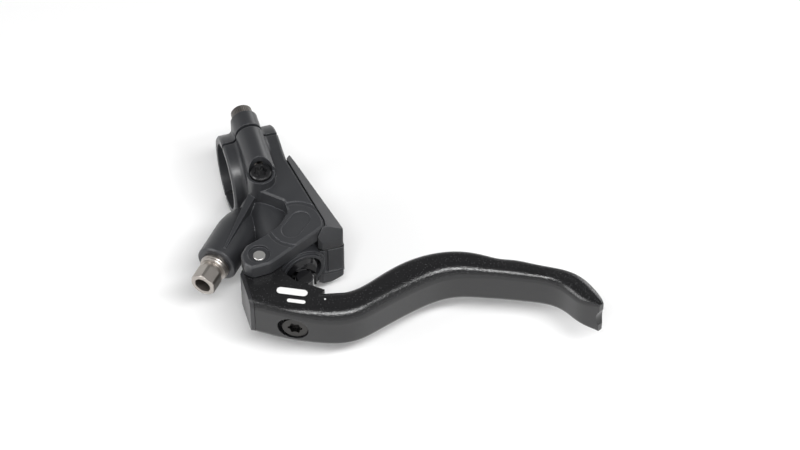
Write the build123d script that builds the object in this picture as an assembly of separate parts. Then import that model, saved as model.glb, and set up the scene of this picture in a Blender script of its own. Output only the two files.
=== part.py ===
from build123d import *
from math import atan2, cos, degrees, hypot, radians, sin
import os

# Hydraulic brake lever for a flat handlebar.
# The origin is the middle of the handlebar's bore. X runs along the bar towards the blade's tip,
# the blade lies at negative Y, and Z is up. All sizes are in millimetres.

# Handlebar clamp
bar_radius = 11.1
clamp_width = 18.8
strap_wall = 2.6
split_y = 2.2
split_gap = 1.2
bolt_x = -0.2
bolt_z = 15.8
bolt_boss_radius = 4.5
bolt_boss_end = 8.9
boss_root_fillet = 1.6
strap_edge_chamfer = 0.6
bar_room = 0.4

# Clamp bolts
bolt_radius = 2.0
bolt_head_radius = 3.55
bolt_head_height = 3.8
bolt_length = 20.0
bolt_socket_flats = 3.0
bolt_socket_depth = 2.2
bolt_hole_clearance = 0.25
thread_clearance = 0.03
screw_wall = 1.0
screw_hole_spare = 1.2
screw_edge_chamfer = 0.35

# Deck and pivot ears
ear_thickness = 5.2
deck_edge_chamfer = 0.6
pivot_x = -9.3
pivot_y = -46.0
pivot_radius = 2.0
ear_dish_radius = 3.6
ear_dish_depth = 1.0
pin_end_inset = 0.6
pin_chamfer = 0.2
emblem_x = 5.2
emblem_y = -37.3
emblem_outer_radius = 9.75
emblem_inner_radius = 8.35
emblem_depth = 0.35
panel_length = 12.0
panel_width = 6.4
panel_turn = 42.0
panel_depth = 0.3

# Master cylinder
mouth_x = 4.8
mouth_y = -45.2
cylinder_z = -0.6
cylinder_turn = 10.0
bore_radius = 5.0
bore_depth = 28.0
barrel_end_wall = 3.0
barrel_radius = 8.2
mouth_ring_radius = 7.4
mouth_ring_proud = 1.2
mouth_recess_radius = 6.4
mouth_recess_depth = 1.6

# Reservoir beside the deck
strip_drop = 2.5
cover_seam_z = 3.4
base_seam_z = -8.7
seam_gap = 0.25
front_face_y = -43.1
front_slope_z = 6.5
front_slope_back = 2.1
outer_wall_x = 19.9
chamber_wall = 1.8
chamber_floor = 5.0
diaphragm_thickness = 0.8
front_groove_x = 13.1
front_groove_width = 1.1
front_groove_depth = 0.6
front_groove_end_z = -7.5
front_line_height = 0.6
front_line_depth = 0.35

# Bleed screw
bleed_x = -0.8
bleed_seat_z = 15.6
bleed_head_radius = 3.5
bleed_head_height = 1.7
bleed_collar_radius = 3.9
bleed_collar_wall = 0.8
bleed_collar_height = 0.8
bleed_thread_radius = 2.5
bleed_length = 6.0
seal_cord = 0.9

# Hose port
port_x = -21.4
port_y = -35.3
port_turn = 41.3
port_radius = 6.9
port_straight = 13.0
port_length = 24.0
port_end_radius = 3.0
rib_width = 2.6
rib_start_width = 0.7
rib_offset = 1.2
rib_low = 6.3
rib_high = 9.2
rib_start = 2.5
port_edge_chamfer = 0.5
nut_flats = 8.0
nut_hex_length = 5.6
nut_neck_radius = 3.5
nut_neck_length = 1.6
nut_thread_radius = 4.6
nut_thread_proud = 2.5
nut_thread_length = 6.0
hose_radius = 2.75
olive_length = 2.6
olive_radius = 3.7
olive_chamfer = 0.4
nut_corner_spare = 0.35
oil_way_radius = 1.0

# Piston group, measured along the cylinder from its mouth
piston_front = 20.0
piston_back = 5.6
piston_clearance = 0.05
seal_width = 1.8
seal_clearance = 0.02
seal_groove_depth = 1.1
primary_seal_at = 17.2
secondary_seal_at = 8.4
cup_depth = 3.4
cup_mouth_radius = 3.6
spring_wire = 0.8
spring_wire_sides = 6
spring_radius = 3.2
spring_turns = 3.5
ring_thickness = 0.8
ring_inner_radius = 3.9
ring_groove_depth = 0.7
rod_radius = 1.6
rod_ball_radius = 2.2
rod_saddle_wall = 1.2
rod_saddle_height = 5.6
rod_saddle_open = 1.2
boot_wall = 0.8
boot_length = 3.3
boot_line = [(6.1, 0), (6.1, 1.2), (5.2, 1.65), (5.6, 2.1), (4.3, boot_length)]

# Cross barrel and reach screw
barrel_x = 4.1
barrel_y = -51.6
cross_barrel_radius = 2.9
cross_barrel_height = 8.6
cross_barrel_chamfer = 0.3
reach_turn = 25.5
reach_face_distance = 18.45
reach_head_radius = 4.15
reach_head_height = 2.3
reach_head_inset = 0.4
reach_shank_radius = 1.7
reach_tip_past = 1.0
reach_slot_radius = 4.65
reach_slot_right = 0.2
reach_slot_left = 1.1
clip_radius = 3.1
clip_thickness = 0.6
clip_groove_depth = 0.4
six_lobe_radius = 2.4
six_lobe_depth = 1.8
running_gap = 0.3
shaft_gap = 0.05

# Blade
blade_half_height = 7.6
blade_tip_half_height = 6.6
blade_taper_from_x = 20.8
blade_left_x = -16.3
front_edge_radius = 4.2
front_low_radius = 2.0
rear_edge_radius = 2.2
widest_front_round = 0.42
widest_rear_round = 0.3
blade_tip_x = 92.2
cheek_thickness = 3.0
front_wall = 5.0
root_right_x = 9.0
root_corner_radius = 2.0
knuckle_radius = 5.6
root_shoulder = 2.0
end_cap_thickness = 1.2
end_cap_gap = 0.15
tip_scoop_radius = 7.0
tip_scoop_depth = 0.9
bush_wall = 0.8
bush_length = 6.0

# Worked-out places
ear_inner = blade_half_height + running_gap
deck_top = ear_inner + ear_thickness
bleed_y = bolt_boss_end - bolt_length - screw_hole_spare - bleed_thread_radius - screw_wall
cylinder_axis = Vector(-sin(radians(cylinder_turn)), cos(radians(cylinder_turn)), 0)
mouth = Vector(mouth_x, mouth_y, cylinder_z)
port_in = Vector(sin(radians(port_turn)), cos(radians(port_turn)), 0)
port_face = Vector(port_x, port_y, cylinder_z)
port_out = -port_in
reach_in = Vector(sin(radians(reach_turn)), cos(radians(reach_turn)), 0)
barrel_centre = Vector(barrel_x, barrel_y, cylinder_z)
reach_face = barrel_centre - reach_in * reach_face_distance
pivot = Vector(pivot_x, pivot_y, 0)
blade_sections = [
    ((-20.5, -57.6), (-16.8, -51.7)),
    ((-15.0, -61.2), (-11.3, -55.3)),
    ((-9.5, -64.9), (-6.0, -58.8)),
    ((reach_face.X, reach_face.Y), (-0.4, -61.6)),
    ((4.3, -72.0), (7.4, -62.2)),
    ((12.3, -74.0), (13.4, -63.4)),
    ((19.3, -73.1), (18.4, -63.1)),
    ((26.8, -70.6), (24.6, -60.9)),
    ((35.8, -67.8), (33.9, -57.4)),
    ((44.3, -66.0), (44.0, -55.9)),
    ((51.8, -66.4), (53.6, -57.2)),
    ((59.3, -69.0), (62.8, -61.9)),
    ((69.3, -73.2), (73.2, -67.2)),
    ((77.0, -76.9), (81.8, -72.3)),
    ((81.6, -80.8), (87.6, -76.5)),
    ((84.8, -86.4), (91.4, -83.7)),
    ((88.6, -90.4), (92.3, -89.2)),
    ((90.4, -91.9), (92.0, -91.2)),
]
root_sections = 5
root_rear_edge = [
    (8.0, -61.7, 0),
    (4.8, -59.0, 1.5),
    (0.1, -55.6, 1.5),
    (-1.9, -52.6, 1.0),
    (-2.9, -50.1, 0),
]
boss_left_x = bolt_x - bolt_boss_radius
deck_right_x = clamp_width / 2
housing_split = split_y - split_gap / 2
clamp_split = split_y + split_gap / 2
strap_radius = bar_radius + strap_wall


def along(start, direction, distance):
    """A point on a line."""
    return start + direction * distance


def rod_between(start, direction, radius, length):
    """A cylinder that starts at a point and runs along a direction."""
    plane = Plane(origin=start, z_dir=direction)
    return extrude(plane * Circle(radius), length)


def ring_between(start, direction, outer, inner, length):
    """A round sleeve that starts at a point and runs along a direction."""
    plane = Plane(origin=start, z_dir=direction)
    return extrude(plane * (Circle(outer) - Circle(inner)), length)


def rounded_face(points):
    """A flat face in plan from corners given as x, y and corner radius."""
    corners = [(x, y) for x, y, radius in points]
    radii = [radius for x, y, radius in points]
    return make_face(FilletPolyline(*corners, radius=radii, close=True))


def plate(points, low, high):
    """An upright prism over a closed outline in plan."""
    return extrude(Pos(0, 0, low) * rounded_face(points), high - low)


def both_ways(shape):
    """The shape with its mirror image below the middle plane."""
    return shape + mirror(shape, about=Plane.XY)


def six_lobe(radius):
    """The outline of a six-lobe drive socket."""
    core = 0.78 * radius
    lobe = 0.24 * radius
    return Circle(core) + PolarLocations(radius - lobe, 6) * Circle(lobe)


# Clamp

def strap(first_y, last_y):
    """The part of the clamp's band between two places in Y."""
    band = rod_between(Vector(-clamp_width / 2, 0, 0), Vector(1, 0, 0), strap_radius, clamp_width)
    band = chamfer(band.edges().filter_by(GeomType.CIRCLE), strap_edge_chamfer)
    depth = last_y - first_y
    keep = Pos(0, (first_y + last_y) / 2, 0) * Box(4 * clamp_width, depth, 6 * bar_radius)
    return band & keep


def bolt_boss(first_y, last_y):
    """A round-topped boss for one clamp bolt, above the bar."""
    profile = Circle(bolt_boss_radius) + Pos(0, -bolt_z / 2) * Rectangle(
        2 * bolt_boss_radius, bolt_z
    )
    face = Plane(origin=(bolt_x, last_y, bolt_z), x_dir=(1, 0, 0), z_dir=(0, -1, 0)) * profile
    return extrude(face, last_y - first_y)


def soften_boss_roots(body):
    """Rounds the hollow corners between the bolt bosses and the band."""
    roots = [
        edge
        for edge in body.edges().filter_by(GeomType.CIRCLE)
        if abs(abs(edge.center().X - bolt_x) - bolt_boss_radius) < 0.01
        and abs(edge.radius - strap_radius) < 0.01
    ]
    return fillet(roots, boss_root_fillet)


def make_bar_clamp():
    body = strap(clamp_split, strap_radius + 1)
    body += both_ways(bolt_boss(clamp_split, bolt_boss_end))
    body = soften_boss_roots(body)
    body -= bar_bore()
    hole = rod_between(
        Vector(bolt_x, 0, bolt_z), Vector(0, 1, 0), bolt_radius + bolt_hole_clearance, clamp_width
    )
    return body - both_ways(hole)


def make_clamp_bolts():
    head = rod_between(
        Vector(bolt_x, bolt_boss_end, bolt_z), Vector(0, 1, 0), bolt_head_radius, bolt_head_height
    )
    head = chamfer(head.edges().sort_by(Axis.Y)[-1], screw_edge_chamfer)
    shank = rod_between(
        Vector(bolt_x, bolt_boss_end, bolt_z), Vector(0, -1, 0), bolt_radius, bolt_length
    )
    socket_plane = Plane(
        origin=(bolt_x, bolt_boss_end + bolt_head_height, bolt_z), z_dir=(0, -1, 0)
    )
    socket = extrude(
        socket_plane * RegularPolygon(bolt_socket_flats / 2, 6, major_radius=False),
        bolt_socket_depth,
    )
    bolt = head + shank - socket
    return Compound(children=[bolt, mirror(bolt, about=Plane.XY)])


# Housing

# Outlines in plan, each point with its corner radius
deck_outline = [
    (boss_left_x, housing_split, 0),
    (boss_left_x, -17.2, 1.0),
    (-2.4, -20.2, 1.0),
    (4.2, -26.4, 1.6),
    (4.2, -31.0, 2.0),
    (0.2, -35.6, 3.0),
    (-5.2, -38.6, 8.0),
    (-12.4, -41.2, 4.0),
    (-15.1, -44.6, 3.0),
    (-15.1, -48.6, 2.6),
    (-12.8, -50.9, 1.2),
    (-6.8, -50.6, 5.0),
    (10.6, -42.0, 0),
    (13.9, -40.3, 1.0),
    (14.3, -38.0, 2.0),
    (deck_right_x, -9.0, 0),
    (deck_right_x, housing_split, 0),
]
body_outline = [
    (boss_left_x, 0, 0),
    (boss_left_x, -17.2, 1.0),
    (-2.4, -20.2, 1.0),
    (4.2, -26.4, 1.6),
    (4.2, -31.0, 0),
    (3.2, -43.2, 0),
    (10.2, -40.6, 0),
    (14.3, -38.0, 0),
    (deck_right_x, -9.0, 0),
    (deck_right_x, 0, 0),
]
reservoir_outline = [
    (deck_right_x, -9.0, 0),
    (14.3, -38.0, 0.5),
    (13.9, -40.3, 0.5),
    (10.6, -42.0, 0.3),
    (12.4, front_face_y, 0.3),
    (outer_wall_x, front_face_y, 1.4),
    (outer_wall_x, -41.3, 1.4),
    (12.4, -11.0, 3.0),
    (11.1, -6.6, 0.5),
]


def deck_plate():
    """The flat top plate with its pivot ear, a round groove and a plain sunk panel."""
    deck = plate(deck_outline, ear_inner, deck_top)
    deck = chamfer(deck.edges().group_by(Axis.Z)[-1], deck_edge_chamfer)
    centre = Pos(emblem_x, emblem_y, deck_top)
    ring = centre * (Circle(emblem_outer_radius) - Circle(emblem_inner_radius))
    panel = centre * Rot(0, 0, panel_turn) * SlotOverall(panel_length, panel_width)
    return deck - extrude(ring, -emblem_depth) - extrude(panel, -panel_depth)


def bleed_tower():
    """The upright round end of the upper bolt boss, under the bleed screw."""
    return rod_between(
        Vector(bleed_x, bleed_y, 0),
        Vector(0, 0, 1),
        bleed_collar_radius + bleed_collar_wall,
        bleed_seat_z + bleed_collar_height,
    )


def hose_arm():
    """The hose port, a round arm whose inner end is domed towards the clamp."""
    base = Line((0, 0), (port_radius, 0))
    side = Line(base @ 1, (port_radius, port_straight))
    dome = TangentArc(side @ 1, (port_end_radius, port_length), tangent=(0, 1))
    top = Line(dome @ 1, (0, port_length))
    middle = Line(top @ 1, base @ 0)
    profile = Plane.XZ * make_face([base, side, dome, top, middle])
    arm = revolve(profile, axis=Axis.Z)
    arm = chamfer(arm.edges().sort_by(Axis.Z)[0], port_edge_chamfer)
    return Plane(origin=port_face, z_dir=port_in) * arm


def hose_rib():
    """The flat rib along the top of the hose arm, rising and widening towards the clamp."""
    side = Vector(-port_in.Y, port_in.X, 0)
    start = port_face - side * (rib_offset + rib_width / 2)
    wall = Plane(origin=(start.X, start.Y, 0), x_dir=port_in, z_dir=-side)
    outline = Polyline(
        (rib_start, 0), (rib_start, rib_low), (port_length, rib_high), (port_length, 0), close=True
    )
    top = Polyline(
        (rib_start, 0),
        (rib_start, rib_start_width),
        (port_length, rib_width),
        (port_length, 0),
        close=True,
    )
    ground = Plane(origin=(start.X, start.Y, 0), x_dir=port_in, z_dir=(0, 0, 1))
    return extrude(wall * make_face(outline), -rib_width) & extrude(
        ground * make_face(top), rib_high
    )


def cylinder_barrel():
    """The round outside of the master cylinder with its mouth ring."""
    barrel = rod_between(mouth, cylinder_axis, barrel_radius, bore_depth + barrel_end_wall)
    ring = rod_between(
        along(mouth, cylinder_axis, -mouth_ring_proud),
        cylinder_axis,
        mouth_ring_radius,
        2 * mouth_ring_proud,
    )
    return barrel + ring


def clamp_saddle():
    """Half of the clamp's band with its two bolt bosses."""
    body = strap(-strap_radius - 1, housing_split)
    body += both_ways(bolt_boss(bleed_y, housing_split))
    return soften_boss_roots(body)


def make_housing():
    body = clamp_saddle()
    body += plate(body_outline, -deck_top + deck_edge_chamfer, deck_top - deck_edge_chamfer)
    body += both_ways(deck_plate())
    body += cylinder_barrel()
    body += hose_arm()
    body += both_ways(hose_rib())
    body += bleed_tower()
    # Room for the cover and base, and the reservoir's middle between them
    body -= plate(reservoir_outline, cover_seam_z, 2 * deck_top)
    body -= plate(reservoir_outline, -2 * deck_top, base_seam_z)
    body += plate(reservoir_outline, base_seam_z, cover_seam_z) - front_grooves()
    # Bore for the bar, screw holes and the seat of the bleed screw
    body -= bar_bore() + bar_passage()
    body -= rod_between(
        Vector(bleed_x, bleed_y, bleed_seat_z), Vector(0, 0, 1), bleed_collar_radius, bolt_z
    )
    body -= rod_between(
        Vector(bleed_x, bleed_y, bleed_seat_z),
        Vector(0, 0, -1),
        bleed_thread_radius + thread_clearance,
        bleed_length + screw_hole_spare,
    )
    body -= rod_between(
        Vector(bleed_x, bleed_y, bleed_seat_z),
        Vector(0, 0, -1),
        bleed_thread_radius + seal_cord / 2,
        seal_cord,
    )
    bolt_in_housing = bolt_length - (bolt_boss_end - housing_split)
    body -= both_ways(
        rod_between(
            Vector(bolt_x, housing_split, bolt_z),
            Vector(0, -1, 0),
            bolt_radius + thread_clearance,
            bolt_in_housing + screw_hole_spare,
        )
    )
    body -= cylinder_hollow()
    body -= port_hollow()
    # Pivot pin hole and its dishes
    body -= rod_between(pivot, Vector(0, 0, 1), pivot_radius, deck_top)
    body -= rod_between(pivot, Vector(0, 0, -1), pivot_radius, deck_top)
    dish = Pos(pivot_x, pivot_y, deck_top - ear_dish_depth) * Circle(ear_dish_radius)
    body -= both_ways(extrude(dish, 2 * ear_dish_depth))
    return body - chamber()


def bar_bore():
    """The round space of the handlebar."""
    return rod_between(
        Vector(-clamp_width, 0, 0), Vector(1, 0, 0), bar_radius, 2 * clamp_width
    )


def bar_passage():
    """The wider space that the handlebar needs beside the clamp, under the reservoir's end."""
    start = Vector(clamp_width / 2, 0, 0)
    return rod_between(start, Vector(1, 0, 0), bar_radius + bar_room, clamp_width)


def cylinder_hollow():
    """The cylinder's bore, the wider seat of the dust boot and the retaining ring's groove."""
    hollow = rod_between(mouth, cylinder_axis, bore_radius, bore_depth)
    hollow += rod_between(
        along(mouth, cylinder_axis, -mouth_ring_proud),
        cylinder_axis,
        mouth_recess_radius,
        mouth_ring_proud + mouth_recess_depth,
    )
    hollow += rod_between(
        along(mouth, cylinder_axis, piston_back - ring_thickness),
        cylinder_axis,
        bore_radius + ring_groove_depth,
        ring_thickness,
    )
    return hollow


def port_hollow():
    """The threaded hole for the hose nut, the olive's seat and the oil way to the cylinder."""
    hollow = rod_between(
        port_face, port_in, nut_thread_radius + thread_clearance, nut_thread_length
    )
    olive_start = along(port_face, port_in, nut_thread_length)
    hollow += rod_between(olive_start, port_in, olive_radius, olive_length)
    return hollow + rod_between(port_face, port_in, oil_way_radius, port_length)


def front_grooves():
    """The upright groove in the reservoir's front, and the line across its foot."""
    right = outer_wall_x - front_groove_x
    upright = Pos(front_groove_x, front_face_y, front_groove_end_z) * Box(
        front_groove_width,
        2 * front_groove_depth,
        2 * (cover_seam_z - front_groove_end_z),
        align=(Align.MIN, Align.CENTER, Align.MIN),
    )
    across = Pos(front_groove_x, front_face_y, front_groove_end_z) * Box(
        2 * right,
        2 * front_line_depth,
        front_line_height,
        align=(Align.MIN, Align.CENTER, Align.MIN),
    )
    return upright + across


def chamber():
    """The oil space in the reservoir's middle."""
    inner = offset(rounded_face(reservoir_outline), -chamber_wall)
    return extrude(Pos(0, 0, cover_seam_z - chamber_floor) * inner, chamber_floor)


# Reservoir cover, diaphragm and base

def strip_slope():
    """The space above the reservoir's sloping top strip."""
    rear = Vector(deck_right_x, -9.0, deck_top)
    front = Vector(14.3, -38.0, deck_top)
    seam = (front - rear).normalized()
    across = Vector(-seam.Y, seam.X, 0)
    down = (across * (outer_wall_x - front.X) - Vector(0, 0, strip_drop)).normalized()
    plane = Plane(origin=rear, x_dir=seam, z_dir=seam.cross(down))
    return extrude(plane * Rectangle(8 * outer_wall_x, 8 * outer_wall_x), 2 * deck_top)


def front_slope():
    """The space in front of the cover's leaning front face."""
    plane = Plane(
        origin=(outer_wall_x, front_face_y, front_slope_z),
        x_dir=(1, 0, 0),
        z_dir=(0, -(deck_top - front_slope_z), front_slope_back),
    )
    return extrude(plane * Rectangle(4 * outer_wall_x, 4 * outer_wall_x), 2 * deck_top)


def shrunk_reservoir(low, high):
    """The reservoir's outline drawn in by the seam, between two heights, clear of the handlebar."""
    face = offset(rounded_face(reservoir_outline), -seam_gap)
    return extrude(Pos(0, 0, low) * face, high - low) - bar_passage()


def make_reservoir_cover():
    cover = shrunk_reservoir(cover_seam_z + diaphragm_thickness, deck_top)
    return cover - strip_slope() - front_slope()


def make_reservoir_diaphragm():
    return shrunk_reservoir(cover_seam_z, cover_seam_z + diaphragm_thickness)


def make_reservoir_base():
    base = shrunk_reservoir(-deck_top, base_seam_z)
    return base - mirror(strip_slope(), about=Plane.XY)


# Bleed screw

def make_bleed_screw():
    seat = Vector(bleed_x, bleed_y, bleed_seat_z)
    head = rod_between(seat, Vector(0, 0, 1), bleed_head_radius, bleed_head_height)
    head = chamfer(head.edges().sort_by(Axis.Z)[-1], screw_edge_chamfer)
    neck_radius = bleed_thread_radius - seal_cord / 2
    thread = rod_between(seat, Vector(0, 0, -1), bleed_thread_radius, bleed_length)
    thread -= ring_between(
        seat, Vector(0, 0, -1), bleed_thread_radius + seal_cord, neck_radius, seal_cord
    )
    socket = extrude(
        Pos(bleed_x, bleed_y, bleed_seat_z + bleed_head_height) * six_lobe(six_lobe_radius),
        -six_lobe_depth,
    )
    return head + thread - socket


def make_bleed_screw_seal():
    """A flat ring under the screw's head, in the groove of its neck."""
    seat = Vector(bleed_x, bleed_y, bleed_seat_z)
    outer = bleed_thread_radius + seal_cord / 2
    return ring_between(seat, Vector(0, 0, -1), outer, bleed_thread_radius - seal_cord / 2, seal_cord)


# Hose nut and olive

def make_hose_nut():
    thread_start = along(port_face, port_out, -nut_thread_length)
    nut = rod_between(
        thread_start, port_out, nut_thread_radius, nut_thread_length + nut_thread_proud
    )
    neck_start = along(port_face, port_out, nut_thread_proud)
    nut += rod_between(neck_start, port_out, nut_neck_radius, nut_neck_length)
    hex_start = along(neck_start, port_out, nut_neck_length)
    hexagon = Plane(origin=hex_start, x_dir=(0, 0, 1), z_dir=port_out) * RegularPolygon(
        nut_flats / 2, 6, major_radius=False
    )
    round_ends = rod_between(hex_start, port_out, nut_flats / 2 + nut_corner_spare, nut_hex_length)
    round_ends = chamfer(round_ends.edges().filter_by(GeomType.CIRCLE), nut_corner_spare)
    nut += extrude(hexagon, nut_hex_length) & round_ends
    length = nut_thread_length + nut_thread_proud + nut_neck_length + nut_hex_length
    return nut - rod_between(thread_start, port_out, hose_radius, length)


def make_hose_olive():
    start = along(port_face, port_in, nut_thread_length)
    olive = rod_between(start, port_in, olive_radius, olive_length)
    olive = chamfer(olive.edges().filter_by(GeomType.CIRCLE), olive_chamfer)
    return olive - rod_between(start, port_in, hose_radius, olive_length)


# Piston group

def make_master_piston():
    radius = bore_radius - piston_clearance
    start = along(mouth, cylinder_axis, piston_back)
    body = rod_between(start, cylinder_axis, radius, piston_front - piston_back)
    for place in (primary_seal_at, secondary_seal_at):
        body -= ring_between(
            along(mouth, cylinder_axis, place),
            cylinder_axis,
            bore_radius + piston_clearance,
            radius - seal_groove_depth,
            seal_width,
        )
    cup = Pos(0, 0, cup_depth / 2) * Cone(cup_mouth_radius, rod_ball_radius, cup_depth)
    cup += Pos(0, 0, cup_depth) * Sphere(rod_ball_radius + shaft_gap)
    return body - Plane(origin=start, z_dir=cylinder_axis) * cup


def make_seal(place):
    radius = bore_radius - piston_clearance
    return ring_between(
        along(mouth, cylinder_axis, place + shaft_gap),
        cylinder_axis,
        bore_radius - seal_clearance,
        radius - seal_groove_depth,
        seal_width - 2 * shaft_gap,
    )


def make_return_spring():
    length = bore_depth - piston_front - spring_wire - 2 * shaft_gap
    path = Helix(pitch=length / spring_turns, height=length, radius=spring_radius)
    wire = RegularPolygon(spring_wire / 2, spring_wire_sides)
    section = Plane(origin=path @ 0, z_dir=path % 0) * wire
    coil = sweep(section, path=path, is_frenet=True)
    start = along(mouth, cylinder_axis, piston_front + spring_wire / 2 + shaft_gap)
    return Plane(origin=start, z_dir=cylinder_axis) * coil


def make_retaining_ring():
    return ring_between(
        along(mouth, cylinder_axis, piston_back - ring_thickness),
        cylinder_axis,
        bore_radius + ring_groove_depth,
        ring_inner_radius,
        ring_thickness,
    )


def rod_line():
    """The centre of the push rod's ball, and its direction and distance to the cross barrel."""
    ball = along(mouth, cylinder_axis, piston_back + cup_depth)
    to_barrel = barrel_centre - ball
    return ball, to_barrel.normalized(), to_barrel.length


def make_push_rod():
    """A rod with a ball in the piston's cup and a saddle behind the cross barrel."""
    ball, direction, reach = rod_line()
    hollow = cross_barrel_radius + running_gap
    rod = Pos(*ball) * Sphere(rod_ball_radius)
    rod += rod_between(ball, direction, rod_radius, reach - hollow)
    saddle = Cylinder(hollow + rod_saddle_wall, rod_saddle_height)
    saddle &= Pos(hollow + rod_saddle_open, 0, 0) * Box(2 * hollow, 4 * hollow, 4 * hollow)
    turn = degrees(atan2(-direction.Y, -direction.X))
    rod += Pos(*barrel_centre) * Rot(0, 0, turn) * saddle
    return rod - Pos(*barrel_centre) * Cylinder(hollow, 4 * hollow)


def make_dust_boot():
    """A folded rubber boot between the cylinder's mouth and the push rod."""
    floor = boot_length - boot_wall
    inner_line = [(radius - boot_wall, min(height, floor)) for radius, height in boot_line]
    outline = [*boot_line, (0, boot_length), (0, floor), *reversed(inner_line)]
    face = Plane.XZ * make_face(Polyline(*outline, close=True))
    base = along(mouth, cylinder_axis, mouth_recess_depth)
    boot = Plane(origin=base, z_dir=-cylinder_axis) * revolve(face, axis=Axis.Z)
    ball, direction, reach = rod_line()
    return boot - rod_between(ball, direction, rod_radius + running_gap, reach)


# Cross barrel and reach screw

def make_cross_barrel():
    body = Pos(*barrel_centre) * Cylinder(cross_barrel_radius, cross_barrel_height)
    body = chamfer(body.edges().filter_by(GeomType.CIRCLE), cross_barrel_chamfer)
    start = along(barrel_centre, reach_in, -2 * cross_barrel_radius)
    return body - rod_between(
        start, reach_in, reach_shank_radius + running_gap, 4 * cross_barrel_radius
    )


def screw_recess():
    """The slot-shaped sink for the reach screw's head, and the journal of its shank."""
    wide = SlotCenterToCenter(reach_slot_left - reach_slot_right, 2 * reach_slot_radius)
    plane = Plane(origin=reach_face, x_dir=(reach_in.Y, -reach_in.X, 0), z_dir=reach_in)
    floor = reach_head_inset + reach_head_height + shaft_gap
    slot = plane * Pos(-(reach_slot_left + reach_slot_right) / 2, 0) * wide
    sink = extrude(slot, floor) + extrude(slot, -front_wall)
    sink += rod_between(reach_face, reach_in, reach_shank_radius + shaft_gap, 2 * front_wall)
    clip_seat = along(reach_face, reach_in, front_wall)
    return sink + rod_between(clip_seat, reach_in, clip_radius + running_gap, front_wall)


def clip_place():
    """Where the reach screw's clip starts, just behind the front wall."""
    return along(reach_face, reach_in, front_wall + running_gap)


def make_reach_screw():
    head_start = along(reach_face, reach_in, reach_head_inset)
    head = rod_between(head_start, reach_in, reach_head_radius, reach_head_height)
    length = reach_face_distance - reach_head_inset + reach_tip_past
    shank = rod_between(head_start, reach_in, reach_shank_radius, length)
    shank -= ring_between(
        clip_place(), reach_in, clip_radius, reach_shank_radius - clip_groove_depth, clip_thickness
    )
    socket = extrude(
        Plane(origin=head_start, z_dir=reach_in) * six_lobe(six_lobe_radius), six_lobe_depth
    )
    return head + shank - socket


def make_reach_screw_clip():
    """An open spring clip round the groove in the reach screw."""
    inner = reach_shank_radius - clip_groove_depth
    ring = Circle(clip_radius) - Circle(inner)
    ring -= Pos(clip_radius, 0) * Rectangle(2 * clip_radius, 2 * inner)
    return extrude(Plane(origin=clip_place(), z_dir=reach_in) * ring, clip_thickness)


# Blade

def blade_half(x):
    """Half of the blade's height at a place along the bar: level, then bowed in to the tip."""
    share = max(0, x - blade_taper_from_x) / (blade_tip_x - blade_taper_from_x)
    return blade_half_height - (blade_half_height - blade_tip_half_height) * share**2


def blade_section(front, rear):
    """A rounded upright section of the blade between a front and a rear point."""
    start = Vector(*front, 0)
    across = Vector(*rear, 0) - start
    width = across.length
    half = blade_half(start.X)
    front_radius = min(front_edge_radius, width * widest_front_round)
    rear_radius = min(rear_edge_radius, width * widest_rear_round)
    low_radius = min(front_low_radius, width * widest_rear_round)
    corners = [
        (0, -half, low_radius),
        (width, -half, rear_radius),
        (width, half, rear_radius),
        (0, half, front_radius),
    ]
    normal = across.normalized().cross(Vector(0, 0, 1))
    return Plane(origin=start, x_dir=across, z_dir=normal) * rounded_face(corners)


def front_points():
    """The points of the front edge at the blade's root, from the left."""
    return [front for front, rear in blade_sections[:root_sections]]


def inside_front(distance):
    """Places along the root's front edge, moved inwards."""
    edge = front_points()
    moved = []
    for (x0, y0), (x1, y1) in zip(edge, edge[1:]):
        length = hypot(x1 - x0, y1 - y0)
        moved.append(
            ((x0 + x1) / 2 - distance * (y1 - y0) / length,
             (y0 + y1) / 2 + distance * (x1 - x0) / length)
        )
    return moved


def blade_root():
    """The flat-topped root between the blade's front strip and the pivot."""
    front = [(x, y, 0) for x, y in inside_front(front_edge_radius)]
    outline = [
        *root_rear_edge,
        (pivot_x + knuckle_radius, pivot_y, 0),
        (pivot_x - knuckle_radius, pivot_y, 0),
        (blade_left_x, pivot_y - root_shoulder, 0),
        (blade_left_x, front[0][1], 0),
        *front[1:],
    ]
    root = plate(outline, -blade_half_height, blade_half_height)
    return root + Pos(pivot_x, pivot_y) * Cylinder(knuckle_radius, 2 * blade_half_height)


def tip_scoop():
    """The hollow across the blade's blunt end."""
    front, rear = [Vector(*point, 0) for point in blade_sections[-1]]
    across = (rear - front).normalized()
    outward = Vector(across.Y, -across.X, 0)
    centre = along((front + rear) / 2, outward, tip_scoop_radius - tip_scoop_depth)
    start = along(centre, across, -blade_half_height)
    return rod_between(start, across, tip_scoop_radius, 2 * blade_half_height)


def blade_blank():
    """The whole blade before its root is hollowed."""
    body = loft([blade_section(front, rear) for front, rear in blade_sections])
    body += blade_root()
    left = Pos(blade_left_x - 2 * knuckle_radius, pivot_y) * Box(
        4 * knuckle_radius, 8 * knuckle_radius, 4 * knuckle_radius
    )
    return body - left - tip_scoop()


def root_hollow():
    """The space between the blade's two cheeks, open to the rear and to the left end."""
    front = inside_front(front_wall)
    outline = [(x, y, 0) for x, y in front]
    outline.insert(0, (2 * blade_left_x, front[0][1], 0))
    outline.append((root_right_x, front[-1][1], root_corner_radius))
    outline.append((root_right_x, pivot_y, 0))
    outline.append((2 * blade_left_x, pivot_y, 0))
    half = blade_half_height - cheek_thickness
    hollow = plate(outline, -half, half)
    return hollow - Pos(pivot_x, pivot_y) * Cylinder(knuckle_radius, 2 * blade_half_height)


def end_cap_space():
    """Everything to the left of the blade's end cap seam."""
    seam = blade_left_x + end_cap_thickness
    size = 4 * knuckle_radius
    return Pos(seam - size, pivot_y - size, 0) * Box(2 * size, 4 * size, 2 * size)


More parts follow.
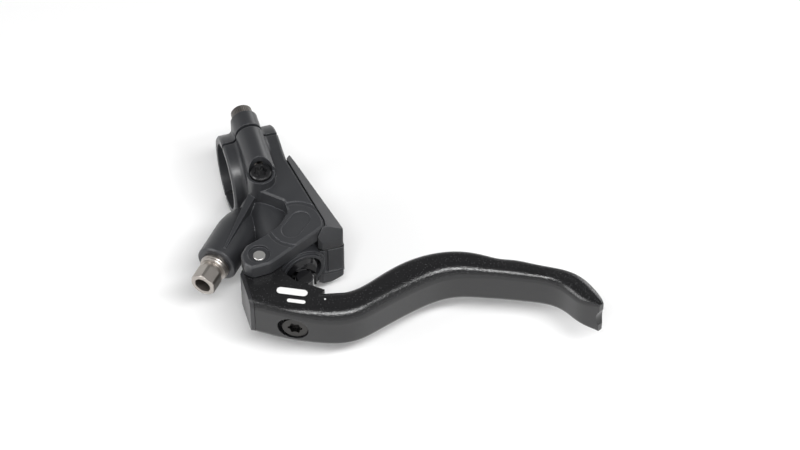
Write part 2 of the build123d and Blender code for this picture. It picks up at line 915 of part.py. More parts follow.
def make_lever_blade():
    body = blade_blank() - root_hollow() - screw_recess()
    body -= Pos(end_cap_gap, 0, 0) * end_cap_space()
    bush_hole = pivot_radius + shaft_gap + bush_wall
    return body - Pos(pivot_x, pivot_y) * Cylinder(bush_hole, 4 * blade_half_height)


def make_blade_end_cap():
    return blade_blank() & end_cap_space()


def make_pivot_pin():
    half = deck_top - pin_end_inset
    pin = Pos(pivot_x, pivot_y) * Cylinder(pivot_radius, 2 * half)
    return chamfer(pin.edges().filter_by(GeomType.CIRCLE), pin_chamfer)


def make_pivot_bushes():
    inner = pivot_radius + shaft_gap
    bush = ring_between(
        Vector(pivot_x, pivot_y, blade_half_height), Vector(0, 0, -1), inner + bush_wall, inner,
        bush_length,
    )
    return Compound(children=[bush, mirror(bush, about=Plane.XY)])


parts = {
    "housing": make_housing(),
    "bar_clamp": make_bar_clamp(),
    "clamp_bolts": make_clamp_bolts(),
    "bleed_screw": make_bleed_screw(),
    "bleed_screw_seal": make_bleed_screw_seal(),
    "reservoir_cover": make_reservoir_cover(),
    "reservoir_diaphragm": make_reservoir_diaphragm(),
    "reservoir_base": make_reservoir_base(),
    "master_piston": make_master_piston(),
    "primary_seal": make_seal(primary_seal_at),
    "secondary_seal": make_seal(secondary_seal_at),
    "return_spring": make_return_spring(),
    "retaining_ring": make_retaining_ring(),
    "dust_boot": make_dust_boot(),
    "push_rod": make_push_rod(),
    "cross_barrel": make_cross_barrel(),
    "reach_screw": make_reach_screw(),
    "reach_screw_clip": make_reach_screw_clip(),
    "lever_blade": make_lever_blade(),
    "blade_end_cap": make_blade_end_cap(),
    "pivot_pin": make_pivot_pin(),
    "pivot_bushes": make_pivot_bushes(),
    "hose_nut": make_hose_nut(),
    "hose_olive": make_hose_olive(),
}

os.makedirs("parts", exist_ok=True)
for name, shape in parts.items():
    export_step(shape, "parts/" + name + ".step")
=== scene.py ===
# %% [markdown]
# # A hydraulic brake lever for a flat bar
# The lever is a moulded plastic body that holds a small master cylinder, a split clamp for the
# handlebar, and a forged aluminium blade that swings on a steel pin. The imported construction
# model already has every piece at its real size. This lesson dresses it: it sets the camera
# and the studio light, mixes a finish for each material, adds the thread of the hose nut and
# the white print on the blade, and puts copies of the boot and the return spring in place of their
# construction nodes.

# %% The fixed frame
import math

import bmesh
import bpy
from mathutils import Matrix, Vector


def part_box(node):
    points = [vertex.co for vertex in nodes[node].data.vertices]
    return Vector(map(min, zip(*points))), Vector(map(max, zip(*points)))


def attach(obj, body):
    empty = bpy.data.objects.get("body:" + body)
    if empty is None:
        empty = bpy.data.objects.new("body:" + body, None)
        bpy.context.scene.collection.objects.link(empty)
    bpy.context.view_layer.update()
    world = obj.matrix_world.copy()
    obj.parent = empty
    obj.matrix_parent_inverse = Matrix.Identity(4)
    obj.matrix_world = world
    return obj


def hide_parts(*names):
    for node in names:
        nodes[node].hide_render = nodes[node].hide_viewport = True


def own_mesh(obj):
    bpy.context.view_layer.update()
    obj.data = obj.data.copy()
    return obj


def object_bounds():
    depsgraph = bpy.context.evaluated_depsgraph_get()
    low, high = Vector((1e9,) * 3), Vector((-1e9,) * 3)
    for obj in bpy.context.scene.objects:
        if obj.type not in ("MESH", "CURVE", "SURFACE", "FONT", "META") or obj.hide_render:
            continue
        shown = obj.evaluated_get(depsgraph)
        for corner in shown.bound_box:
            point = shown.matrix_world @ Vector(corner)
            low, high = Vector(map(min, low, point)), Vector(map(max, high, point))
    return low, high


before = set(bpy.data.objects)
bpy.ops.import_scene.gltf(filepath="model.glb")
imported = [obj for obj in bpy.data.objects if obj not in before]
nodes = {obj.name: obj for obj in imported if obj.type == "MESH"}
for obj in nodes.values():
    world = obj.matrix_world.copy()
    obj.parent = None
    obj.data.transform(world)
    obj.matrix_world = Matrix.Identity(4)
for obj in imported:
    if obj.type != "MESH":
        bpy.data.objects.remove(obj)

cad_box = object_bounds()
print("construction model from", cad_box[0], "to", cad_box[1])

# %% [markdown]
# ## Places taken from the frame
# Every length below is in metres, and `mm` keeps the numbers readable. Heights and middles are
# read from the boxes of the construction nodes, so they follow them if they change. Three
# directions are fixed by the design, counted clockwise from straight back: the cylinder is
# turned 10 degrees the other way, the hose port 41.3 degrees and the reach screw 25.5 degrees.

# %% Lengths and directions
mm = 0.001


def middle(node):
    """The middle of a construction node's box."""
    low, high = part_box(node)
    return (low + high) / 2


def direction(turn):
    """A level direction, turned clockwise from straight back by some degrees."""
    return Vector((math.sin(math.radians(turn)), math.cos(math.radians(turn)), 0))


cylinder_axis = direction(-10)
port_axis = direction(41.3)
screw_axis = direction(25.5)
print("pivot pin at", middle("pivot_pin"), "cross barrel at", middle("cross_barrel"))

# %% [markdown]
# ## The camera
# A product photographer would lay the lever on a table and look down at it from the front with
# a long lens, so that it hardly narrows with distance. The camera stands a metre away with a
# 135 mm lens, fifty degrees above the table and a little to the left.

# %% The camera
def into_scene(name, data):
    """Makes an object from a mesh, a lamp or a camera and links it to the scene."""
    thing = bpy.data.objects.new(name, data)
    bpy.context.scene.collection.objects.link(thing)
    return thing


def look_at(thing, spot):
    """Turns a lamp or a camera towards a spot."""
    thing.rotation_euler = (spot - thing.location).to_track_quat("-Z", "Y").to_euler()


camera_data = bpy.data.cameras.new("camera")
camera_data.lens = 135
camera_data.sensor_width = 36
camera_data.clip_start = 0.05
camera = into_scene("camera", camera_data)
camera.location = (-0.1372, -0.6440, 0.7542)
aim = Vector((0.0432, -0.0270, -0.0118))
look_at(camera, aim)
bpy.context.scene.camera = camera
bpy.context.scene.view_settings.view_transform = "Standard"
print("camera", round((aim - camera.location).length, 3), "m from its aim")

# %% [markdown]
# ## The studio
# Black plastic and black metal show little colour of their own, so what the eye reads is the
# reflection of the room. A wide lamp above and in front draws the bright line along the
# blade's rounded edge, a lamp on the left lights the clamp, a weak one stands behind on the
# right, and a white table fills the front face from below. The ceiling stays dim, which keeps
# the level faces dark.

# %% The table and the lamps
floor_mesh = bpy.data.meshes.new("table")
table = bmesh.new()
half_table = 3.0
bmesh.ops.create_grid(table, x_segments=1, y_segments=1, size=half_table)
table.to_mesh(floor_mesh)
table.free()
floor = into_scene("table", floor_mesh)
floor.location.z = cad_box[0].z


def lamp(name, place, width, height, watts):
    """A soft rectangular lamp that looks at the lever."""
    data = bpy.data.lights.new(name, "AREA")
    data.shape = "RECTANGLE"
    data.size = width
    data.size_y = height
    data.energy = watts
    lit = into_scene(name, data)
    lit.location = place
    look_at(lit, aim)
    print(name, "gives", watts, "W from", place)


lamp("front_top_lamp", (0.05, -0.42, 0.62), 0.62, 0.10, 5.2)
lamp("left_lamp", (-0.60, -0.10, 0.35), 0.30, 0.36, 1.7)
lamp("right_lamp", (0.50, 0.35, 0.30), 0.12, 0.40, 0.9)

# %% [markdown]
# The world is white at the horizon and dims towards the ceiling, as a studio with a white
# sweep does. The camera and mirror reflections see that picture, while the light that the
# world really gives is even and much weaker. Light Path tells the two apart.

# %% White surroundings
def new_node(tree, kind, **inputs):
    """Adds a shader node and sets its named inputs."""
    node = tree.nodes.new(kind)
    for name, value in inputs.items():
        node.inputs[name.replace("_", " ")].default_value = value
    return node


def maths(tree, operation, first, second):
    """Adds a Math node. Each of its two values is a number or an output."""
    node = tree.nodes.new("ShaderNodeMath")
    node.operation = operation
    for socket, value in zip(node.inputs, (first, second)):
        if isinstance(value, (int, float)):
            socket.default_value = value
        else:
            tree.links.new(value, socket)
    return node.outputs[0]


world = bpy.data.worlds.new("studio")
bpy.context.scene.world = world
world.use_nodes = True
room = world.node_tree
room.nodes.clear()
room_path = new_node(room, "ShaderNodeLightPath")
sky_place = new_node(room, "ShaderNodeTexCoord")
sky_split = new_node(room, "ShaderNodeSeparateXYZ")
room.links.new(sky_place.outputs["Generated"], sky_split.inputs[0])
sky_fade = new_node(room, "ShaderNodeMapRange", From_Min=0.15, From_Max=0.70, To_Min=1.0, To_Max=0.20)
room.links.new(sky_split.outputs["Z"], sky_fade.inputs["Value"])
room_light = new_node(room, "ShaderNodeBackground", Color=(1, 1, 1, 1), Strength=0.31)
room_seen = new_node(room, "ShaderNodeBackground", Color=(1, 1, 1, 1))
room.links.new(sky_fade.outputs["Result"], room_seen.inputs["Strength"])
room_mix = new_node(room, "ShaderNodeMixShader")
room_out = new_node(room, "ShaderNodeOutputWorld")
mirror_rays = maths(room, "MAXIMUM", room_path.outputs["Is Glossy Ray"],
                    room_path.outputs["Is Transmission Ray"])
seen_rays = maths(room, "MAXIMUM", room_path.outputs["Is Camera Ray"], mirror_rays)
room.links.new(seen_rays, room_mix.inputs[0])
room.links.new(room_light.outputs[0], room_mix.inputs[1])
room.links.new(room_seen.outputs[0], room_mix.inputs[2])
room.links.new(room_mix.outputs[0], room_out.inputs[0])

floor_look = bpy.data.materials.new("white_table")
floor_look.use_nodes = True
floor_shader = floor_look.node_tree.nodes["Principled BSDF"]
floor_shader.inputs["Base Color"].default_value = (0.92, 0.92, 0.92, 1)
floor_shader.inputs["Roughness"].default_value = 0.9
floor_mesh.materials.append(floor_look)
print("the world gives", room_light.inputs["Strength"].default_value)

# %% [markdown]
# ## Effects that several finishes share
# A moulding tool is polished or etched, a casting is blasted, and hands leave a film in patches,
# so no surface is one flat tone; the edges also get a painted highlight, a lighter colour where
# a rounded edge would catch a line of light. Each effect is a node group, built once, that a
# finish places with its own values. The groups put out heights, masks and normals only, and
# the shader itself stays in each material.

# %% A group and its sockets
def new_group(name, inputs, outputs):
    """Starts a node group with named inputs and outputs."""
    group = bpy.data.node_groups.new(name, "ShaderNodeTree")
    for label, value in inputs.items():
        socket = group.interface.new_socket(name=label, in_out="INPUT", socket_type="NodeSocketFloat")
        socket.default_value = value
    for label, kind in outputs.items():
        group.interface.new_socket(name=label, in_out="OUTPUT", socket_type=kind)
    start = group.nodes.new("NodeGroupInput")
    end = group.nodes.new("NodeGroupOutput")
    print("group", name, "takes", ", ".join(inputs), "and gives", ", ".join(outputs))
    return group, start, end


# %% [markdown]
# ### Soft edges
# A moulded corner is never sharp: the tool has a small radius there. The Bevel node bends the
# normal near each corner, which lets the edge catch a thin line of light, and comparing it
# with the plain normal gives a mask of where the edges are. Modelling each small radius would
# take hundreds of thousands of faces and would look the same from a step away.

# %% The soft edge group
edge_group, edge_in, edge_out = new_group(
    "soft_edges", {"Radius": 0.3 * mm, "Gain": 2.5},
    {"Normal": "NodeSocketVector", "Edge": "NodeSocketFloat"})
edge_bevel = edge_group.nodes.new("ShaderNodeBevel")
edge_bevel.samples = 4
edge_shape = edge_group.nodes.new("ShaderNodeNewGeometry")
edge_dot = edge_group.nodes.new("ShaderNodeVectorMath")
edge_dot.operation = "DOT_PRODUCT"
edge_group.links.new(edge_in.outputs["Radius"], edge_bevel.inputs["Radius"])
edge_group.links.new(edge_bevel.outputs["Normal"], edge_dot.inputs[0])
edge_group.links.new(edge_shape.outputs["Normal"], edge_dot.inputs[1])
edge_turn = maths(edge_group, "SUBTRACT", 1.0, edge_dot.outputs["Value"])
edge_mask = maths(edge_group, "MULTIPLY", edge_turn, edge_in.outputs["Gain"])
edge_clean = maths(edge_group, "MINIMUM", edge_mask, 1.0)
edge_group.links.new(edge_bevel.outputs["Normal"], edge_out.inputs["Normal"])
edge_group.links.new(edge_clean, edge_out.inputs["Edge"])

# %% [markdown]
# ### Grain
# The body's tool is lightly etched, the strip a little more, and the blade is blasted and then
# coated, so its grain is the coarsest and sparkles where the lamp's reflection passes. Two
# noises of different size are added, because real grain has large and small hills.

# %% The grain group
grain_group, grain_in, grain_out = new_group(
    "surface_grain", {"Grains Per Metre": 3000.0, "Coarse Share": 0.4}, {"Height": "NodeSocketFloat"})
grain_place = grain_group.nodes.new("ShaderNodeTexCoord")


def noise(tree, place, scale, detail=2.0):
    """A noise over the object's own coordinates, which gives about 0.3 to 0.7."""
    node = new_node(tree, "ShaderNodeTexNoise", Detail=detail, Roughness=0.6)
    tree.links.new(place.outputs["Object"], node.inputs["Vector"])
    if isinstance(scale, (int, float)):
        node.inputs["Scale"].default_value = scale
    else:
        tree.links.new(scale, node.inputs["Scale"])
    return node.outputs["Fac"]


fine_hills = noise(grain_group, grain_place, grain_in.outputs["Grains Per Metre"])
coarse_ratio = 0.37
coarse_scale = maths(grain_group, "MULTIPLY", grain_in.outputs["Grains Per Metre"], coarse_ratio)
coarse_hills = noise(grain_group, grain_place, coarse_scale)
coarse_part = maths(grain_group, "MULTIPLY", coarse_hills, grain_in.outputs["Coarse Share"])
grain_sum = maths(grain_group, "ADD", fine_hills, coarse_part)
grain_group.links.new(grain_sum, grain_out.inputs["Height"])

# %% [markdown]
# ### Handling
# Fingers polish some places and leave a thin film on others. A slow noise makes the shine
# wander between two roughness values and gives the colour a faint unevenness.

# %% The handling group
hand_group, hand_in, hand_out = new_group(
    "handling", {"Patches Per Metre": 70.0, "Smooth": 0.35, "Rough": 0.5},
    {"Roughness": "NodeSocketFloat", "Patches": "NodeSocketFloat"})
hand_place = hand_group.nodes.new("ShaderNodeTexCoord")
patches = noise(hand_group, hand_place, hand_in.outputs["Patches Per Metre"], detail=5.0)
hand_spread = new_node(hand_group, "ShaderNodeMapRange", From_Min=0.35, From_Max=0.65)
hand_group.links.new(patches, hand_spread.inputs["Value"])
hand_group.links.new(hand_in.outputs["Smooth"], hand_spread.inputs["To Min"])
hand_group.links.new(hand_in.outputs["Rough"], hand_spread.inputs["To Max"])
hand_group.links.new(hand_spread.outputs["Result"], hand_out.inputs["Roughness"])
hand_group.links.new(patches, hand_out.inputs["Patches"])

# %% [markdown]
# ### Painted glints
# Scattered points of light on the blade's coating are painted into its colour as fine lighter
# flecks, a painted glint. A cell texture gives each cell a random tone, and only the few brightest cells
# are kept.

# %% The fleck group
painted_glint_group, fleck_in, fleck_out = new_group(
    "painted_glint_specks", {"Cells Per Metre": 3200.0, "Share": 0.06}, {"Mask": "NodeSocketFloat"})
fleck_place = painted_glint_group.nodes.new("ShaderNodeTexCoord")
fleck_cells = painted_glint_group.nodes.new("ShaderNodeTexVoronoi")
fleck_split = painted_glint_group.nodes.new("ShaderNodeSeparateColor")
painted_glint_group.links.new(fleck_place.outputs["Object"], fleck_cells.inputs["Vector"])
painted_glint_group.links.new(fleck_in.outputs["Cells Per Metre"], fleck_cells.inputs["Scale"])
painted_glint_group.links.new(fleck_cells.outputs["Color"], fleck_split.inputs["Color"])
fleck_floor = maths(painted_glint_group, "SUBTRACT", 1.0, fleck_in.outputs["Share"])
painted_glint_mask = maths(painted_glint_group, "GREATER_THAN", fleck_split.outputs["Red"], fleck_floor)
painted_glint_group.links.new(painted_glint_mask, fleck_out.inputs["Mask"])

# %% [markdown]
# ### Tool marks
# A turned piece keeps the fine rings that the lathe tool left. They run round the piece's
# axis, so the height is a wave along that axis. The group takes the axis as three numbers and
# reads how far along it each point lies.

# %% The tool mark group
mark_group, mark_in, mark_out = new_group(
    "turned_rings", {"Axis X": 0.0, "Axis Y": 1.0, "Axis Z": 0.0, "Rings Per Metre": 2600.0},
    {"Height": "NodeSocketFloat"})
mark_place = mark_group.nodes.new("ShaderNodeTexCoord")
mark_axis = mark_group.nodes.new("ShaderNodeCombineXYZ")
for axis_letter in "XYZ":
    mark_group.links.new(mark_in.outputs["Axis " + axis_letter], mark_axis.inputs[axis_letter])
mark_along = mark_group.nodes.new("ShaderNodeVectorMath")
mark_along.operation = "DOT_PRODUCT"
mark_group.links.new(mark_place.outputs["Object"], mark_along.inputs[0])
mark_group.links.new(mark_axis.outputs[0], mark_along.inputs[1])
mark_count = maths(mark_group, "MULTIPLY", mark_along.outputs["Value"], mark_in.outputs["Rings Per Metre"])
mark_wave = new_node(mark_group, "ShaderNodeTexNoise", Scale=1.0, Detail=3.0)
mark_wave.noise_dimensions = "1D"
mark_group.links.new(mark_count, mark_wave.inputs["W"])
mark_group.links.new(mark_wave.outputs["Fac"], mark_out.inputs["Height"])

# %% [markdown]
# ## The finishes
# All finishes share one build: the soft edges give the normal, the grain or the tool marks
# lift it with a Bump node, the handling group moves the roughness, and a painted highlight
# makes the colour lighter along the edges. What makes each one itself are its numbers and what is added to
# it.
# Two helpers come first: one places a shared group, the other mixes two colours by a mask.

# %% Placing a group and mixing colours
def place_group(tree, group, **values):
    """Places a shared group in a material and sets its named inputs."""
    node = tree.nodes.new("ShaderNodeGroup")
    node.node_tree = group
    for name, value in values.items():
        node.inputs[name.replace("_", " ")].default_value = value
    return node


def blend_colours(tree, mask, first, second):
    """Mixes two colours by a mask. The first may be a colour or an output."""
    node = tree.nodes.new("ShaderNodeMix")
    node.data_type = "RGBA"
    tree.links.new(mask, node.inputs["Factor"])
    colour_inputs = [socket for socket in node.inputs if socket.type == "RGBA"]
    if isinstance(first, tuple):
        colour_inputs[0].default_value = (*first, 1)
    else:
        tree.links.new(first, colour_inputs[0])
    colour_inputs[1].default_value = (*second, 1)
    return [socket for socket in node.outputs if socket.type == "RGBA"][0]


print("a finish can place", ", ".join(group.name for group in bpy.data.node_groups))

# %% [markdown]
# ### One finish
# Metallic, coat and specular level are the same all over a piece, so they are plain numbers on
# the shader's own sockets. Only what changes over the surface comes through links: colour,
# roughness and normal.

# %% The common build of a finish
film_shade = 0.88
coat_roughness = 0.06


def finish(name, colour, smooth, rough, grains=3500.0, depth=0.004, edge=0.3, edge_highlight_gain=1.6,
           metallic=0.0, specular=0.5, axis=None, coat=0.0):
    """Makes a finish. Depth and edge radius are in millimetres."""
    look = bpy.data.materials.new(name)
    look.use_nodes = True
    tree = look.node_tree
    shader = tree.nodes["Principled BSDF"]
    shader.inputs["Metallic"].default_value = metallic
    shader.inputs["Specular IOR Level"].default_value = specular
    shader.inputs["Coat Weight"].default_value = coat
    shader.inputs["Coat Roughness"].default_value = coat_roughness
    edges = place_group(tree, edge_group, Radius=edge * mm)
    hands = place_group(tree, hand_group, Smooth=smooth, Rough=rough)
    darker = tuple(part * film_shade for part in colour)
    # Painted highlight: the colour is made lighter along the edges, standing in for the thin line of light
    # that a rounded edge catches.
    edge_highlight_colour = tuple(min(part * edge_highlight_gain, 1.0) for part in colour)
    uneven = blend_colours(tree, hands.outputs["Patches"], darker, colour)
    tone = blend_colours(tree, edges.outputs["Edge"], uneven, edge_highlight_colour)
    tree.links.new(tone, shader.inputs["Base Color"])
    tree.links.new(hands.outputs["Roughness"], shader.inputs["Roughness"])
    if axis is None:
        relief = place_group(tree, grain_group, Grains_Per_Metre=grains)
    else:
        relief = place_group(tree, mark_group, Axis_X=axis.x, Axis_Y=axis.y, Axis_Z=axis.z)
    bump = new_node(tree, "ShaderNodeBump", Strength=1.0, Distance=depth * mm)
    tree.links.new(relief.outputs["Height"], bump.inputs["Height"])
    tree.links.new(edges.outputs["Normal"], bump.inputs["Normal"])
    tree.links.new(bump.outputs["Normal"], shader.inputs["Normal"])
    print("finish", name, "roughness", smooth, "to", rough)
    return look


def dress(look, *names):
    """Gives one finish to construction nodes."""
    for name in names:
        piece = nodes[name]
        piece.data.materials.clear()
        piece.data.materials.append(look)


# %% [markdown]
# ### Moulded plastic and rubber
# The body is a fibre-filled plastic with a satin tool finish, the reservoir's strip and base
# are rougher and a little lighter, and the boot is a soft rubber with a wet-looking shine.
# The cross barrel is a polished hard plastic, so it gets a clear coat and hardly any grain.

# %% Plastic and rubber
body_look = finish("body_plastic", (0.030, 0.031, 0.034), 0.32, 0.44, depth=0.010, edge=0.45,
                   edge_highlight_gain=3.0)
cover_look = finish("cover_plastic", (0.043, 0.044, 0.047), 0.44, 0.58, grains=2600, depth=0.030, edge=0.4,
                    edge_highlight_gain=2.4)
cap_look = finish("cap_plastic", (0.022, 0.022, 0.024), 0.34, 0.44, depth=0.004, edge=0.2)
screw_look = finish("screw_plastic", (0.012, 0.012, 0.013), 0.24, 0.34, depth=0.002, edge=0.15)
rubber_look = finish("rubber_black", (0.008, 0.008, 0.009), 0.14, 0.24, depth=0.004, edge=0.2, coat=0.4)
barrel_look = finish("barrel_plastic", (0.006, 0.006, 0.007), 0.07, 0.12, depth=0.0008, edge=0.2,
                     coat=0.8)
dress(body_look, "housing", "bar_clamp")
dress(cover_look, "reservoir_cover", "reservoir_base")
dress(cap_look, "blade_end_cap")
dress(screw_look, "bleed_screw")
dress(rubber_look, "reservoir_diaphragm", "dust_boot", "bleed_screw_seal", "primary_seal", "secondary_seal")
dress(barrel_look, "cross_barrel")

# %% [markdown]
# ### Metals
# The pin is ground steel, the nut is a warm grey stainless, and the bolts, the push rod and the
# reach screw are blackened. The push rod is polished before it is blackened, so that the boot
# slides on it. Each keeps a plain Metallic of one. The nut, the olive and the piston come from
# a lathe, so they get its rings in place of the grain.

# %% Metals
pin_look = finish("bright_steel", (0.78, 0.77, 0.75), 0.34, 0.46, depth=0.003, edge=0.15, metallic=1.0)
nut_look = finish("nut_steel", (0.44, 0.41, 0.38), 0.34, 0.46, depth=0.006, edge=0.2, edge_highlight_gain=1.3,
                  metallic=1.0, axis=port_axis)
dark_look = finish("dark_steel", (0.060, 0.058, 0.056), 0.30, 0.42, depth=0.004, edge=0.15, metallic=1.0)
rod_look = finish("blackened_rod", (0.020, 0.020, 0.021), 0.10, 0.18, depth=0.001, edge=0.2, metallic=1.0,
                  coat=0.3)
spring_look = finish("spring_steel", (0.42, 0.42, 0.43), 0.28, 0.38, depth=0.002, edge=0.1, metallic=1.0)
brass_look = finish("olive_brass", (0.72, 0.55, 0.27), 0.26, 0.36, depth=0.004, edge=0.1, metallic=1.0,
                    axis=port_axis)
piston_look = finish("piston_alloy", (0.55, 0.55, 0.58), 0.30, 0.40, depth=0.004, edge=0.15, metallic=1.0,
                     axis=cylinder_axis)
bronze_look = finish("bush_bronze", (0.56, 0.40, 0.22), 0.34, 0.46, depth=0.004, edge=0.1, metallic=1.0)
dress(pin_look, "pivot_pin")
dress(nut_look, "hose_nut")
dress(dark_look, "reach_screw")
dress(rod_look, "push_rod")
dress(spring_look, "return_spring", "retaining_ring", "reach_screw_clip")
dress(brass_look, "hose_olive")
dress(piston_look, "master_piston")
dress(bronze_look, "pivot_bushes")

# %% [markdown]
# ### Bolt heads
# The clamp bolts have a knurled head. The knurl is a ring of fine ridges that run along the
# bolt, so its height is a wave of the angle about the bolt. The two bolts mirror each other
# above and below the middle, so one formula with the absolute height serves both.

# %% Knurled bolts
bolt_look = finish("bolt_steel", (0.15, 0.14, 0.13), 0.32, 0.44, depth=0.004, edge=0.15, metallic=1.0)
bolt_tree = bolt_look.node_tree
bolt_low, bolt_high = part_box("clamp_bolts")
head_width = bolt_high.x - bolt_low.x
bolt_height = bolt_high.z - head_width / 2
bolt_place = bolt_tree.nodes.new("ShaderNodeTexCoord")
bolt_split = bolt_tree.nodes.new("ShaderNodeSeparateXYZ")
bolt_tree.links.new(bolt_place.outputs["Object"], bolt_split.inputs[0])
aside = maths(bolt_tree, "SUBTRACT", bolt_split.outputs["X"], (bolt_low.x + bolt_high.x) / 2)
upright = maths(bolt_tree, "ABSOLUTE", bolt_split.outputs["Z"], 0.0)
above = maths(bolt_tree, "SUBTRACT", upright, bolt_height)
turn = maths(bolt_tree, "ARCTAN2", above, aside)
ridge_count = 36
ridge_depth = 0.05 * mm
ridges = maths(bolt_tree, "SINE", maths(bolt_tree, "MULTIPLY", turn, ridge_count), 0.0)
knurl = new_node(bolt_tree, "ShaderNodeBump", Strength=1.0, Distance=ridge_depth)
bolt_shader = bolt_tree.nodes["Principled BSDF"]
bolt_tree.links.new(ridges, knurl.inputs["Height"])
bolt_tree.links.new(bolt_shader.inputs["Normal"].links[0].from_socket, knurl.inputs["Normal"])
bolt_tree.links.new(knurl.outputs["Normal"], bolt_shader.inputs["Normal"])
dress(bolt_look, "clamp_bolts")
print(ridge_count, "ridges on each bolt head", round(head_width / mm, 2), "mm wide")

# %% [markdown]
# ### The blade's coating
# The forged blade is blasted and coated satin black. Where the front lamp mirrors in its
# rounded edge, the grain breaks the light into a band of sparks, and lighter flecks painted into
# the colour stand in for more sparks of light, a painted glint. The blasting reaches the top and
# the rounded edges, while the upright faces were wiped smooth, so a mask of how level the
# surface is scales the grain, and it also puts the painted glints on the level faces.

# %% The blade's coating
blade_look = finish("blade_coating", (0.0080, 0.0080, 0.0087), 0.17, 0.25, grains=2100, depth=0.075,
                    edge=0.3, edge_highlight_gain=2.0, specular=0.55)
blade_tree = blade_look.node_tree
blade_shader = blade_tree.nodes["Principled BSDF"]
blade_bump = next(node for node in blade_tree.nodes if node.type == "BUMP")
blade_shape = blade_tree.nodes.new("ShaderNodeNewGeometry")
blade_split = blade_tree.nodes.new("ShaderNodeSeparateXYZ")
blade_tree.links.new(blade_shape.outputs["Normal"], blade_split.inputs[0])
blast_and_glint_share = new_node(blade_tree, "ShaderNodeMapRange", From_Min=0.15, From_Max=0.60, To_Min=0.10,
                   To_Max=1.0)
blade_tree.links.new(blade_split.outputs["Z"], blast_and_glint_share.inputs["Value"])
blasted_height = maths(blade_tree, "MULTIPLY", blade_bump.inputs["Height"].links[0].from_socket,
                       blast_and_glint_share.outputs["Result"])
blade_tree.links.new(blasted_height, blade_bump.inputs["Height"])
# Painted glint: a few lighter flecks in the base colour, mostly on the level faces, stand in for sparkles
# of light.
painted_glint_node = place_group(blade_tree, painted_glint_group, Cells_Per_Metre=4200.0, Share=0.035)
painted_glint_mask = maths(blade_tree, "MULTIPLY", painted_glint_node.outputs["Mask"], blast_and_glint_share.outputs["Result"])
plain_tone = blade_shader.inputs["Base Color"].links[0].from_socket
painted_glint_tone = blend_colours(blade_tree, painted_glint_mask, plain_tone, (0.034, 0.034, 0.036))
blade_tree.links.new(painted_glint_tone, blade_shader.inputs["Base Color"])
dress(blade_look, "lever_blade")
print("grain on the upright faces", blast_and_glint_share.inputs["To Min"].default_value)

# %% [markdown]
# ## The thread of the hose nut
# Two and a half millimetres of the nut's thread stay outside the port. On a lathe it is one
# helical cut, so the sleeve below is a stack of fine rings whose radius rises and falls with a
# phase that moves on with the angle. A few plain ridges would be simpler, but they don't climb
# round the nut or run out at both ends, as a cut thread does. The sleeve's inside lies sunk in
# the construction piece, so no gap shows.

# %% The thread
port_face = Vector((-21.4 * mm, -35.3 * mm, middle("hose_nut").z))
outwards = -port_axis
thread_root = 4.62 * mm
thread_rise = 0.26 * mm
thread_pitch = 0.85 * mm
thread_start = 0.15 * mm
thread_end = 2.35 * mm
sunk_radius = 4.30 * mm
crest_sharpness = 0.8
run_out_share = 0.25


def threaded_sleeve(name, face, axis, steps=72, rows=34):
    """A closed sleeve with a helical thread on its outside."""
    side = axis.cross(Vector((0, 0, 1))).normalized()
    up = side.cross(axis)
    mesh = bmesh.new()

    def ring(along, radii):
        """One ring of corners round the axis, each at its own radius."""
        corners = []
        for step, radius in enumerate(radii):
            angle = 2 * math.pi * step / steps
            spoke = side * math.cos(angle) + up * math.sin(angle)
            corners.append(mesh.verts.new(face + axis * along + spoke * radius))
        return corners

    rings = []
    for row in range(rows + 1):
        along = thread_start + (thread_end - thread_start) * row / rows
        from_end = min(row, rows - row) / rows
        fade = min(1.0, from_end / run_out_share)
        phases = [(along / thread_pitch + step / steps) % 1.0 for step in range(steps)]
        rises = [thread_rise * fade * (1 - abs(2 * phase - 1)) ** crest_sharpness for phase in phases]
        rings.append(ring(along, [thread_root + rise for rise in rises]))
    rings.append(ring(thread_end, [sunk_radius] * steps))
    rings.append(ring(thread_start, [sunk_radius] * steps))
    for first, second in zip(rings, rings[1:] + rings[:1]):
        for step in range(steps):
            after = (step + 1) % steps
            mesh.faces.new((first[step], first[after], second[after], second[step]))
    bmesh.ops.recalc_face_normals(mesh, faces=mesh.faces)
    for patch in mesh.faces:
        patch.smooth = True
    data = bpy.data.meshes.new(name)
    mesh.to_mesh(data)
    mesh.free()
    print(name, "has", len(data.polygons), "faces")
    return into_scene(name, data)


nut_thread = threaded_sleeve("hose_nut_thread", port_face, outwards)
nut_thread.data.materials.append(nut_look)
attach(nut_thread, "master")

# %% [markdown]
# ## The white print
# A blade carries a small pad-printed mark on top of its root. Here it is a plain pair of bars
# and a dot. Ink is a thin film, so each mark is a plate a few hundredths of a millimetre high
# with round ends, and it rides on the blade.

# %% The print
print_height = 0.03 * mm
round_steps = 12
blade_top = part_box("lever_blade")[1].z
along_edge = Vector((screw_axis.y, -screw_axis.x, 0))
ink_look = finish("white_ink", (0.82, 0.82, 0.81), 0.45, 0.60, depth=0.002, edge=0.02, edge_highlight_gain=1.0)


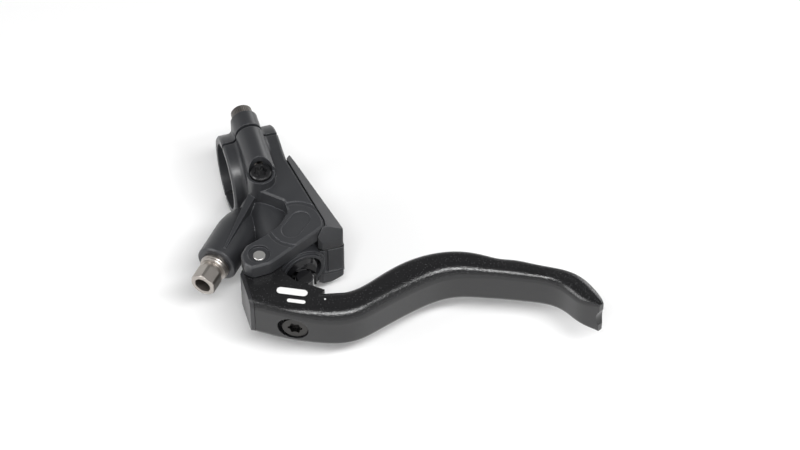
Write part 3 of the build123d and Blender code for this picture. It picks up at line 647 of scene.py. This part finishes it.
def printed_bar(name, centre, length, width):
    """A flat bar with round ends on the blade's top."""
    mesh = bmesh.new()
    reach = (length - width) / 2
    rim = []
    for end in (1, -1):
        for step in range(round_steps + 1):
            angle = math.pi * (step / round_steps - 0.5)
            across = end * math.sin(angle) * width / 2
            forward = end * (reach + math.cos(angle) * width / 2)
            rim.append(centre + along_edge * forward - screw_axis * across)
    top = [mesh.verts.new((spot.x, spot.y, blade_top + print_height)) for spot in rim]
    bottom = [mesh.verts.new((spot.x, spot.y, blade_top - print_height)) for spot in rim]
    mesh.faces.new(top)
    mesh.faces.new(bottom[::-1])
    for step in range(len(rim)):
        after = (step + 1) % len(rim)
        mesh.faces.new((top[step], bottom[step], bottom[after], top[after]))
    bmesh.ops.remove_doubles(mesh, verts=mesh.verts, dist=1e-7)
    bmesh.ops.recalc_face_normals(mesh, faces=mesh.faces)
    data = bpy.data.meshes.new(name)
    mesh.to_mesh(data)
    mesh.free()
    data.materials.append(ink_look)
    piece = into_scene(name, data)
    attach(piece, "blade")
    print(name, round(length / mm, 1), "by", round(width / mm, 1), "mm")


long_bar_place = Vector((-2.2 * mm, -59.6 * mm, 0))
short_bar_place = long_bar_place - screw_axis * 3.6 * mm + along_edge * 2.0 * mm
dot_place = Vector((7.1 * mm, -65.5 * mm, 0))
printed_bar("print_long_bar", long_bar_place, 10.0 * mm, 2.6 * mm)
printed_bar("print_short_bar", short_bar_place, 6.0 * mm, 1.4 * mm)
printed_bar("print_dot", dot_place, 0.62 * mm, 0.60 * mm)

# %% [markdown]
# ## The boot and the return spring
# Two pieces give way when the lever is pulled: the rubber boot folds into the cylinder's mouth
# and the return spring is pressed together. A copy of each takes the place of its construction
# node, which is hidden, and rides with the master cylinder.

# %% Copies of the pieces that give way
def yielding_copy(name, node, look, keep):
    """A copy of a construction node that takes its place and rides with the master cylinder."""
    data = nodes[node].data.copy()
    data.name = name
    data.materials.clear()
    data.materials.append(look)
    piece = into_scene(name, data)
    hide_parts(node)
    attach(piece, "master")
    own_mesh(piece)
    print(name, "has", len(data.polygons), "faces and keeps", keep, "of its length")


yielding_copy("folding_boot", "dust_boot", rubber_look, 0.10)
yielding_copy("pressed_spring", "return_spring", spring_look, 0.45)
